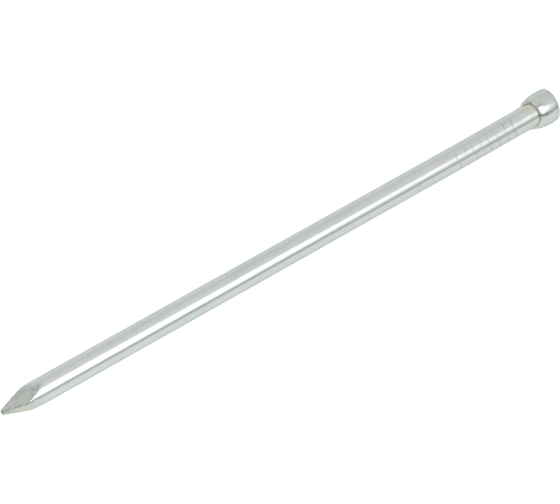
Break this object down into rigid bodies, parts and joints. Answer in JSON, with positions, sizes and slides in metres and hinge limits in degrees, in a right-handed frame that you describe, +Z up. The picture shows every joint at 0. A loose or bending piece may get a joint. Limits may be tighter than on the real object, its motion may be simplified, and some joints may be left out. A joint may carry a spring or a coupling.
{
  "type": "lost-head wire nail",
  "caption": "Zinc plated steel wire nail with a small barrel-shaped lost head, grip marks under the head and a pinched diamond point.",
  "frame": {"origin": "centre of the struck face on top of the head", "axes": "+X along the nail's axis, out of the head, so the point is at -X; +Z up with the nail lying down; the four facets of the point face +Z, -Z, +Y and -Y"},
  "size_m": [0.08, 0.0046, 0.0046],
  "materials": {
    "nail": "drawn wire with a bright zinc plating"
  },
  "bodies": {
    "root": {"nail": "nail"}
  },
  "joints": []
}
